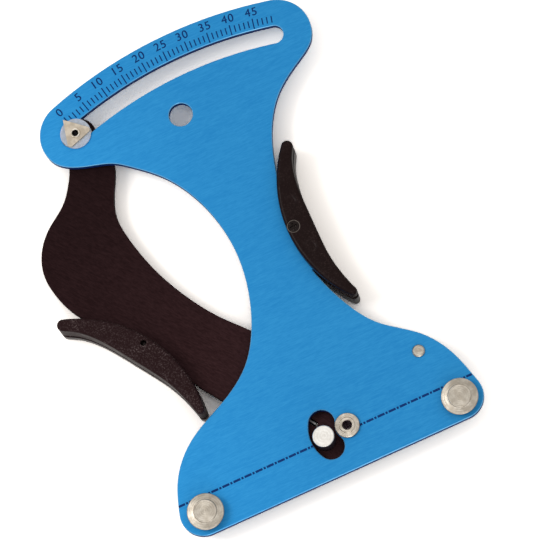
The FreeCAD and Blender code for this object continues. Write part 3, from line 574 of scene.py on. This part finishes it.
@dataclass(frozen=True)
class PalePlastic:
    """Natural bearing plastic: milky, or clear enough to show what lies under it."""

    name: str
    colour: Colour
    transmission: float
    roughness: float
    faded_share: float = 0.88
    haze_scale: float = 700.0
    haze_levels: Span = (0.35, 0.7)
    haze_depth: float = 0.006 * MM
    refraction: float = 1.47

    def material(self) -> Material:
        """Make the bearing plastic's material.

        Returns:
            The material.
        """
        tree = ShaderTree(self.name)
        haze = tree.noise(tree.object_place(), self.haze_scale, detail=3.0, roughness=0.5)
        faded = tuple(self.faded_share * value for value in self.colour)
        colour = tree.blend(tree.ranged(haze, *self.haze_levels, 0.0, 1.0), self.colour, faded)
        return tree.finish(Base_Color=colour, Roughness=self.roughness, IOR=self.refraction,
                           Transmission_Weight=self.transmission,
                           Normal=tree.bump(haze, self.haze_depth, 0.4))


def dress(node_name: str, material: Material) -> None:
    """Give a carried-over CAD node its finish in every material slot.

    Args:
        node_name: the node's name.
        material: the finish.
    """
    node = frame["nodes"][node_name]
    node.data.materials.clear()
    node.data.materials.append(material)
    log.info("%s: %s", node_name, material.name)


def centre_of(node_name: str) -> Vector:
    """The middle of a CAD node's box."""
    low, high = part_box(node_name)
    return (low + high) / 2


def new_piece(name: str, mesh_data: Shape, materials: list[Material]) -> Piece:
    """Turn a bmesh into a linked object at the origin.

    Args:
        name: the piece's name.
        mesh_data: its shape, which is freed.
        materials: its material slots in order.

    Returns:
        The new object.
    """
    mesh = bpy.data.meshes.new(name)
    mesh_data.to_mesh(mesh)
    mesh_data.free()
    if CARRIED_NORMALS in mesh.attributes:
        mesh.attributes.remove(mesh.attributes[CARRIED_NORMALS])
    for material in materials:
        mesh.materials.append(material)
    piece = bpy.data.objects.new(name, mesh)
    bpy.context.scene.collection.objects.link(piece)
    return piece


def merged_copy(node_name: str) -> Shape:
    """Copy a CAD node's shape as a closed bmesh, with its doubled corners merged.

    Args:
        node_name: the node's name.

    Returns:
        The copy.
    """
    shape = bmesh.new()
    shape.from_mesh(frame["nodes"][node_name].data)
    bmesh.ops.remove_doubles(shape, verts=shape.verts, dist=MERGE_DISTANCE)
    return shape


def smooth(piece: Piece) -> None:
    """Shade a piece smoothly, with its real edges kept sharp."""
    piece.data.shade_smooth()
    piece.data.set_sharp_from_angle(angle=SHARP_ANGLE)


def cut_away(piece: Piece, cutter: Piece, overlapping: bool = False) -> None:
    """Take a cutter's shape out of a piece for good; the cut faces keep the cutter's finish.

    Args:
        piece: the piece that is cut.
        cutter: the cutting shape, which is removed.
        overlapping: whether the cutter's own parts run into each other.
    """
    modifier = piece.modifiers.new("stamping", "BOOLEAN")
    modifier.operation = "DIFFERENCE"
    modifier.solver = "EXACT"
    modifier.material_mode = "TRANSFER"
    modifier.use_self = overlapping
    modifier.object = cutter
    bpy.context.view_layer.update()
    evaluated = piece.evaluated_get(bpy.context.evaluated_depsgraph_get())
    cut_mesh = bpy.data.meshes.new_from_object(evaluated)
    piece.modifiers.remove(modifier)
    old_mesh = piece.data
    piece.data = cut_mesh
    bpy.data.meshes.remove(old_mesh)
    bpy.data.objects.remove(cutter)


def add_bar(shape: Shape, centre: Vector, turn: float, size: Vector) -> None:
    """Add a straight bar, narrower at its bottom as a stamping tool is, to a cutting shape.

    Args:
        shape: the cutting shape.
        centre: the bar's middle.
        turn: its turn about Z in radians.
        size: its length, width and height.
    """
    turned = Euler((0.0, 0.0, turn)).to_matrix().to_4x4()
    matrix = Matrix.Translation(centre) @ turned @ Matrix.Diagonal((*size, 1.0))
    made = bmesh.ops.create_cube(shape, size=1.0, matrix=matrix)
    lower = [corner for corner in made["verts"] if corner.co.z < centre.z]
    narrow = Matrix.Diagonal(TOOL_TAPER_SHARES).to_4x4()
    bmesh.ops.transform(shape, verts=lower, matrix=turned @ narrow @ turned.inverted(),
                        space=Matrix.Translation(-centre))


@dataclass
class StampedScale:
    """The arc scale: 50 ticks with every fifth one longer, and the numbers from 0 to 45."""

    face: float
    first_angle: float = 107.82
    step_angle: float = 0.6372
    tick_count: int = 50
    long_every: int = 5
    long_reach: Span = (177.7 * MM, 182.9 * MM)
    short_reach: Span = (178.8 * MM, 182.1 * MM)
    tick_width: float = 0.62 * MM
    number_radius: float = 185.75 * MM
    number_height: float = 3.58 * MM
    number_stretch: float = 0.99
    digit_spacing: float = 1.14
    stroke_shifts: Span = (-0.06 * MM, 0.06 * MM)
    second_depth: float = 0.02 * MM
    glyph_merge: float = 1e-5
    glyph_thickness: float = 1.0
    depth: float = 0.17 * MM
    overrun: float = 0.3 * MM

    def angle_at(self, index: int) -> float:
        """A tick's angle round the pivot in radians."""
        return math.radians(self.first_angle - self.step_angle * index)

    def ticks_cutter(self, shape: Shape) -> None:
        """Add all ticks to a cutting shape.

        Args:
            shape: the cutting shape.
        """
        for index in range(self.tick_count):
            is_long = index % self.long_every == 0
            self.add_tick(shape, self.angle_at(index), self.long_reach if is_long else self.short_reach)

    def numbers_cutter(self, shape: Shape, shift: float) -> None:
        """Add all numbers to a cutting shape.

        Args:
            shape: the cutting shape.
            shift: how far they stand beside their place, so that two rounds make bolder strokes.
        """
        for index in range(0, self.tick_count, self.long_every):
            self.add_number(shape, self.angle_at(index), str(index), shift)

    def add_tick(self, shape: Shape, angle: float, reach: Span) -> None:
        """Add one radial tick.

        Args:
            shape: the cutting shape.
            angle: the tick's angle round the pivot in radians.
            reach: its inner and outer radius.
        """
        middle = (reach[0] + reach[1]) / 2
        height = self.face + (self.overrun - self.depth) / 2
        centre = Vector((middle * math.cos(angle), middle * math.sin(angle), height))
        size = Vector((reach[1] - reach[0], self.tick_width, self.depth + self.overrun))
        add_bar(shape, centre, angle, size)

    def add_number(self, shape: Shape, angle: float, text: str, shift: float) -> None:
        """Add one plain number, upright towards the scale's outer edge.

        Args:
            shape: the cutting shape.
            angle: the number's angle round the pivot in radians.
            text: its digits.
            shift: how far it stands beside its place.
        """
        curve = bpy.data.curves.new("number", "FONT")
        curve.body = text
        curve.space_character = self.digit_spacing
        curve.extrude = self.glyph_thickness
        holder = bpy.data.objects.new("number", curve)
        bpy.context.scene.collection.objects.link(holder)
        bpy.context.view_layer.update()
        flat = bpy.data.meshes.new_from_object(holder.evaluated_get(bpy.context.evaluated_depsgraph_get()))
        digits = bmesh.new()
        digits.from_mesh(flat)
        bmesh.ops.remove_doubles(digits, verts=digits.verts, dist=self.glyph_merge)
        low = Vector([min(corner.co[axis] for corner in digits.verts) for axis in range(3)])
        high = Vector([max(corner.co[axis] for corner in digits.verts) for axis in range(3)])
        scale = self.number_height / (high.y - low.y)
        tall = (self.depth + self.overrun) / (high.z - low.z)
        centred = Matrix.Translation(-(low + high) / 2)
        sized = Matrix.Diagonal((scale * self.number_stretch, scale, tall, 1.0))
        deeper = self.second_depth if shift > 0 else 0.0
        upright = Euler((0.0, 0.0, angle - math.pi / 2)).to_matrix().to_4x4()
        height = self.face + (self.overrun - self.depth) / 2
        place = Matrix.Translation((self.number_radius * math.cos(angle),
                                    self.number_radius * math.sin(angle), height))
        beside = Matrix.Translation((shift, shift / 2, -deeper))
        bmesh.ops.transform(digits, matrix=place @ upright @ beside @ sized @ centred, verts=digits.verts)
        digits.to_mesh(flat)
        digits.free()
        shape.from_mesh(flat)
        bpy.data.meshes.remove(flat)
        bpy.data.objects.remove(holder)


@dataclass
class SpokeLine:
    """The stamped dash and dot line that shows where a spoke lies across the plate."""

    face: float
    level: float = -1.93 * MM
    first_dot: float = -58.19 * MM
    pitch: float = 5.005 * MM
    dots: tuple[int, int] = (-4, 24)
    dot_length: float = 0.95 * MM
    dash_length: float = 3.35 * MM
    width: float = 1.2 * MM
    ends: Span = (-77.2 * MM, 55.5 * MM)
    depth: float = 0.17 * MM
    overrun: float = 0.3 * MM

    def cutter(self, shape: Shape) -> None:
        """Add the dots and dashes to a cutting shape.

        Args:
            shape: the cutting shape.
        """
        height = self.face + (self.overrun - self.depth) / 2
        tall = self.depth + self.overrun
        for index in range(*self.dots):
            dot = self.first_dot + index * self.pitch
            for middle, length in ((dot, self.dot_length), (dot + self.pitch / 2, self.dash_length)):
                start = max(middle - length / 2, self.ends[0])
                end = min(middle + length / 2, self.ends[1])
                if start < end:
                    centre = Vector(((start + end) / 2, self.level, height))
                    add_bar(shape, centre, 0.0, Vector((end - start, self.width, tall)))


@dataclass
class FrontPlate:
    """The blue plate with its stamped marks, which stands for the plain CAD plate."""

    finish: AnodisedSheet
    paint: StampedPaint

    def build(self) -> Piece:
        """Make the stamped plate.

        Returns:
            The plate, riding on the frame.
        """
        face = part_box("front_plate")[1].z
        piece = new_piece("front_plate_stamped", merged_copy("front_plate"), [self.finish.material()])
        ink = self.paint.material()
        scale = StampedScale(face)
        marks = bmesh.new()
        scale.ticks_cutter(marks)
        SpokeLine(face).cutter(marks)
        cut_away(piece, new_piece("line_tool", marks, [ink]))
        # Both rounds of numbers share one cut, because a second cut beside the first one's walls fails
        numbers = bmesh.new()
        for shift in scale.stroke_shifts:
            scale.numbers_cutter(numbers, shift)
        cut_away(piece, new_piece("number_tool", numbers, [ink]), overlapping=True)
        smooth(piece)
        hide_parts("front_plate")
        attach(piece, Body.FRAME.value)
        log.info("front_plate_stamped: %d faces", len(piece.data.polygons))
        return piece


@dataclass
class Turnings:
    """The turned pieces on the plate: fixed posts, pivot bush, spring pin and moving post."""

    fixed_roughness: float = 0.44
    bush_roughness: float = 0.34
    bush_bore: float = 1.95 * MM
    rivet_bore: float = 1.40 * MM
    rivet_colour: Colour = (0.66, 0.58, 0.46)
    rivet_pale: Colour = (0.86, 0.79, 0.68)
    # Painted shade inside the rivet's bore.
    rivet_bore_colour: Colour = (0.05, 0.028, 0.026)
    bush_colour: Colour = (0.53, 0.46, 0.37)
    bush_pale: Colour = (0.76, 0.69, 0.59)
    post_colour: Colour = (0.84, 0.80, 0.74)
    post_pale: Colour = (0.95, 0.92, 0.87)

    def dress(self) -> None:
        """Give each turned piece rings round its own axis."""
        for name in ("left_post", "right_post", "spring_pin"):
            fixed = TurnedMetal("turned_" + name, centre_of(name), roughness=self.fixed_roughness)
            dress(name, fixed.material())
        bush = TurnedMetal("turned_pivot_bush", centre_of("pivot_bush"), self.bush_colour, self.bush_pale,
                           roughness=self.bush_roughness, bore_radius=self.bush_bore, anisotropic=0.7,
                           ring_depth=0.022 * MM)
        dress("pivot_bush", bush.material())
        rivet = TurnedMetal("turned_rivet", centre_of("pointer_rivet"), self.rivet_colour, self.rivet_pale,
                            roughness=self.bush_roughness, bore_radius=self.rivet_bore,
                            bore_colour=self.rivet_bore_colour, anisotropic=0.5)
        dress("pointer_rivet", rivet.material())
        post = TurnedMetal("turned_moving_post", centre_of("moving_post"), self.post_colour, self.post_pale,
                           roughness=0.52, anisotropic=0.2, ring_pitch=1.2 * MM)
        dress("moving_post", post.material())


@dataclass
class Bearings:
    """The plastic rings that keep the plates and the pointer apart."""

    milky: PalePlastic = PalePlastic("natural_acetal", (0.80, 0.79, 0.75), transmission=0.0, roughness=0.42)
    clear: PalePlastic = PalePlastic("clear_disc", (0.80, 0.87, 0.98), transmission=0.5, roughness=0.2)

    def dress(self) -> None:
        """Give the rings their plastics."""
        milky = self.milky.material()
        for name in ("plate_spacer", "spring_hub", "pointer_bush", "pointer_rear_washer"):
            dress(name, milky)
        dress("pointer_front_washer", self.clear.material())


@dataclass
class ReturnSpring:
    """The wound spring: its coil twists between the pin on the plate and the hook in the lever."""

    finish: DrawnWire
    fixed_from: Vector = field(default_factory=lambda: Vector((5.3 * MM, 0.0, 0.0)))
    moving_from: Vector = field(default_factory=lambda: Vector((-8.4 * MM, 0.0, 0.0)))

    def build(self) -> Piece:
        """Make the wire from the spring's CAD shape.

        Returns:
            The spring.
        """
        piece = new_piece("return_spring_wire", merged_copy("return_spring"), [self.finish.material()])
        smooth(piece)
        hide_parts("return_spring")
        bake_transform(piece)
        log.info("return_spring_wire: %d faces", len(piece.data.polygons))
        return piece


@dataclass
class LeverGroup:
    """The dark lever with its pointer."""

    sheet: AnodisedSheet
    nickel: StampedNickel

    def dress(self) -> None:
        """Give the lever and the pointer their finishes."""
        dress("lever_plate", self.sheet.material())
        dress("pointer", self.nickel.material())


@dataclass(frozen=True)
class SinkMark:
    """A shallow round hollow in a moulding's face, over a thick place."""

    place: Vector
    depth: float
    radius: float = 2.65 * MM
    rim_width: float = 0.35 * MM
    profile_steps: int = 6
    round_steps: int = 40
    overrun: float = 0.3 * MM

    def cutter(self, shape: Shape) -> None:
        """Add a disc with a softly rising rim, and a short collar over the face, to a cutting shape.

        Args:
            shape: the cutting shape.
        """
        outline = [self.place + Vector((0.0, 0.0, -self.depth))]
        for step in range(self.profile_steps + 1):
            share = step / self.profile_steps
            reach = self.radius - self.rim_width * (1.0 - share)
            outline.append(self.place + Vector((reach, 0.0, -self.depth * math.cos(share * math.pi / 2))))
        outline.append(self.place + Vector((self.radius, 0.0, self.overrun)))
        outline.append(self.place + Vector((0.0, 0.0, self.overrun)))
        lens = bmesh.new()
        corners = [lens.verts.new(point) for point in outline]
        edges = [lens.edges.new(pair) for pair in zip(corners, corners[1:])]
        bmesh.ops.spin(lens, geom=corners + edges, cent=self.place, axis=(0.0, 0.0, 1.0),
                       dvec=(0.0, 0.0, 0.0), angle=2 * math.pi, steps=self.round_steps, use_merge=True,
                       use_duplicate=False)
        bmesh.ops.remove_doubles(lens, verts=lens.verts, dist=MERGE_DISTANCE)
        bmesh.ops.recalc_face_normals(lens, faces=lens.faces)
        mesh = bpy.data.meshes.new("sink_mark")
        lens.to_mesh(mesh)
        lens.free()
        shape.from_mesh(mesh)
        bpy.data.meshes.remove(mesh)


@dataclass
class Grip:
    """One hand grip: two mouldings and their screw."""

    side: Side
    body: Body
    plastic: MouldedPlastic
    mark_shifts: tuple[Span, ...] = ()
    mark_depth: float = 0.10 * MM
    rear_gloss: float = 0.45
    rear_roughness: float = 0.22

    def build(self) -> None:
        """Make the front moulding with its sink marks, and finish the rear one and the screw."""
        material = self.plastic.material()
        rear_plastic = replace(self.plastic, name=self.plastic.name + "_rear", gloss=self.rear_gloss,
                               roughness=self.rear_roughness)
        screw = "%s_grip_screw" % self.side.value
        front = "%s_grip_front" % self.side.value
        middle = centre_of(screw)
        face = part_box(front)[1].z
        piece = new_piece(front + "_moulded", merged_copy(front), [material])
        if self.mark_shifts:
            marks = bmesh.new()
            for across, along in self.mark_shifts:
                SinkMark(Vector((middle.x + across, middle.y + along, face)), self.mark_depth).cutter(marks)
            cut_away(piece, new_piece("sink_marks", marks, [material]))
        smooth(piece)
        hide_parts(front)
        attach(piece, self.body.value)
        log.info("%s_moulded: %d faces", front, len(piece.data.polygons))
        dress("%s_grip_rear" % self.side.value, rear_plastic.material())
        dress(screw, BlackenedSteel(self.side.value + "_screw_steel", middle).material())


@dataclass(frozen=True)
class Softbox:
    """A square soft lamp: where it hangs, the length of its side, and its power in watts."""

    name: str
    place: Triple
    size: float
    power: float


@dataclass
class Studio:
    """A pale table, soft light from the scale's side, and the camera over the table."""

    aim: Vector = field(default_factory=lambda: Vector((-1.62 * MM, 71.61 * MM, 12.2 * MM)))
    distance: float = 1459.9 * MM
    azimuth: float = 1.29
    elevation: float = 73.52
    roll: float = -25.66
    lens: float = 229.1
    sensor: float = 36.0
    clip_span: Span = (0.05, 20.0)
    floor_half: float = 3.0
    floor_dim: Colour = (0.42, 0.41, 0.40)
    floor_mirrored: Colour = (0.80, 0.77, 0.73)
    floor_white: Colour = (1.80, 1.71, 1.62)
    horizon_level: float = 0.47
    zenith_level: float = 0.88
    zenith_rise: float = 0.65
    paper_scale: float = 40.0
    paper_depth: float = 0.02 * MM
    softboxes: tuple[Softbox, ...] = (
        Softbox("key_softbox", (-0.68, 0.36, 0.94), size=0.50, power=3.6),
        Softbox("overhead_softbox", (0.25, -0.22, 1.60), size=0.32, power=0.9),
        Softbox("low_softbox", (-0.20, -1.10, 0.36), size=0.60, power=3.0),
    )

    def camera_matrix(self) -> Matrix:
        """Work out where the camera stands, turned so that the posts' line climbs to the right.

        Returns:
            The camera's place and turn.
        """
        azimuth = math.radians(self.azimuth)
        elevation = math.radians(self.elevation)
        back = Vector((math.sin(azimuth) * math.cos(elevation), -math.cos(azimuth) * math.cos(elevation),
                       math.sin(elevation)))
        level = Vector((math.cos(azimuth), math.sin(azimuth), 0.0))
        turn = math.radians(self.roll)
        right = level * math.cos(turn) + back.cross(level) * math.sin(turn)
        upward = back.cross(right)
        axes = Matrix((right, upward, back)).transposed().to_4x4()
        return Matrix.Translation(self.aim + back * self.distance) @ axes

    def add_camera(self) -> None:
        """Add the camera at the photograph's angle."""
        data = bpy.data.cameras.new("camera")
        data.lens = self.lens
        data.sensor_width = self.sensor
        data.clip_start, data.clip_end = self.clip_span
        camera = bpy.data.objects.new("camera", data)
        camera.matrix_world = self.camera_matrix()
        bpy.context.scene.collection.objects.link(camera)
        bpy.context.scene.camera = camera

    def floor_colour(self, tree: ShaderTree) -> Socket:
        """Make the table's colour: overexposed where it is seen, plain in metal, dim in what it gives back.

        Args:
            tree: the table's material.

        Returns:
            The colour.
        """
        path = tree.node("LightPath")
        mirrored = tree.blend(path.outputs["Is Glossy Ray"], self.floor_dim, self.floor_mirrored)
        seen = tree.maths("MAXIMUM", path.outputs["Is Camera Ray"], path.outputs["Is Transmission Ray"])
        return tree.blend(seen, mirrored, self.floor_white)

    def add_floor(self) -> None:
        """Add the table top, with a faint mottle as paper has."""
        shape = bmesh.new()
        bmesh.ops.create_grid(shape, x_segments=2, y_segments=2, size=self.floor_half)
        tree = ShaderTree("table_top")
        colour = self.floor_colour(tree)
        mottled = tree.noise(tree.object_place(), self.paper_scale, detail=2.0, roughness=0.5)
        paper = tree.bump(mottled, self.paper_depth, 0.2)
        surface = tree.node("BsdfDiffuse", {"Color": colour, "Normal": paper})
        tree.tree.links.new(surface.outputs[0], tree.output.inputs[0])
        floor = new_piece("table_top", shape, [tree.material])

    def add_softbox(self, softbox: Softbox) -> None:
        """Add a soft lamp that looks at the object.

        Args:
            softbox: the lamp.
        """
        data = bpy.data.lights.new(softbox.name, "AREA")
        data.size = softbox.size
        data.energy = softbox.power
        place = Vector(softbox.place)
        turn = (self.aim - place).to_track_quat("-Z", "Y").to_matrix().to_4x4()
        lamp = bpy.data.objects.new(softbox.name, data)
        lamp.matrix_world = Matrix.Translation(place) @ turn
        bpy.context.scene.collection.objects.link(lamp)

    def add_world(self) -> None:
        """Add the room's light: a pale ceiling over dimmer walls."""
        world = bpy.data.worlds.new("studio")
        world.use_nodes = True
        nodes = world.node_tree.nodes
        links = world.node_tree.links
        nodes.clear()
        place = nodes.new("ShaderNodeTexCoord")
        parts = nodes.new("ShaderNodeSeparateXYZ")
        links.new(place.outputs["Generated"], parts.inputs[0])
        level = nodes.new("ShaderNodeMapRange")
        level.interpolation_type = "SMOOTHSTEP"
        values = (0.0, self.zenith_rise, self.horizon_level, self.zenith_level)
        for index, value in enumerate(values, start=1):
            level.inputs[index].default_value = value
        links.new(parts.outputs[2], level.inputs[0])
        background = nodes.new("ShaderNodeBackground")
        links.new(level.outputs[0], background.inputs["Strength"])
        output = nodes.new("ShaderNodeOutputWorld")
        links.new(background.outputs[0], output.inputs[0])
        bpy.context.scene.world = world

    def build(self) -> None:
        """Set up table, lamps, room light and camera."""
        self.add_floor()
        self.add_world()
        for softbox in self.softboxes:
            self.add_softbox(softbox)
        self.add_camera()
        bpy.context.scene.view_settings.view_transform = "Standard"
        log.info("studio: ready")


def clear_start_scene() -> None:
    """Remove whatever the new file held besides the frame."""
    kept = set(frame["nodes"].values()) | set(frame["bodies"].values())
    for item in list(bpy.data.objects):
        if item not in kept:
            bpy.data.objects.remove(item)
    bpy.context.view_layer.update()


# The wall colours are painted shade. The edge colours are partly wear and partly painted highlight. The
# light fall-off gains are painted light, brighter towards -X on the blue plate and towards the pivot on the
# lever.
BLUE_SHEET = AnodisedSheet(
    "blue_anodised", colour=(0.031, 0.308, 0.655), deep_colour=(0.016, 0.248, 0.590),
    edge_colour=(0.22, 0.56, 0.88), wall_colour=(0.0050, 0.034, 0.180), grain=Grain.ALONG_POSTS,
    roughness=0.52, metallic=0.30, oxide_gloss=0.15, fade_gain=1.14, fade_axis=0,
    fade_span=(-85.0 * MM, 10.0 * MM))
DARK_SHEET = AnodisedSheet(
    "dark_anodised", colour=(0.024, 0.0105, 0.0112), deep_colour=(0.012, 0.0048, 0.0052),
    edge_colour=(0.050, 0.024, 0.024), wall_colour=(0.008, 0.004, 0.004), grain=Grain.ALONG_LEVER,
    roughness=0.50, metallic=0.4, oxide_gloss=0.03, fade_gain=2.1, fine_scale=(620.0, 2600.0, 300.0),
    broad_scale=(220.0, 1300.0, 200.0))
NAVY_PAINT = StampedPaint(
    "stamped_navy_paint", colour=(0.0040, 0.034, 0.170), thin_colour=(0.0070, 0.058, 0.250))
RIGHT_PLASTIC = MouldedPlastic(
    "right_grip_plastic", colour=(0.0095, 0.0032, 0.0028), pale_colour=(0.034, 0.020, 0.018), gloss=0.10)
# Painted sheen: the left grip's plastic is lighter than the right's, and its pale specks are bright enough
# to stand for a sheen.
LEFT_PLASTIC_WITH_SHEEN = MouldedPlastic(
    "left_grip_plastic", colour=(0.0200, 0.0080, 0.0085), pale_colour=(0.130, 0.094, 0.092))


def main() -> None:
    """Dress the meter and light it."""
    logging.basicConfig(level=logging.INFO, format="%(message)s")
    clear_start_scene()
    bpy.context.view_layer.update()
    FrontPlate(BLUE_SHEET, NAVY_PAINT).build()
    Turnings().dress()
    Bearings().dress()
    ReturnSpring(DrawnWire("spring_steel")).build()
    LeverGroup(DARK_SHEET, StampedNickel("pointer_nickel")).dress()
    Grip(Side.RIGHT, Body.FRAME, RIGHT_PLASTIC, RIGHT_SINK_MARKS).build()
    Grip(Side.LEFT, Body.LEVER, LEFT_PLASTIC_WITH_SHEEN).build()
    Studio().build()


if __name__ == "__main__":
    main()
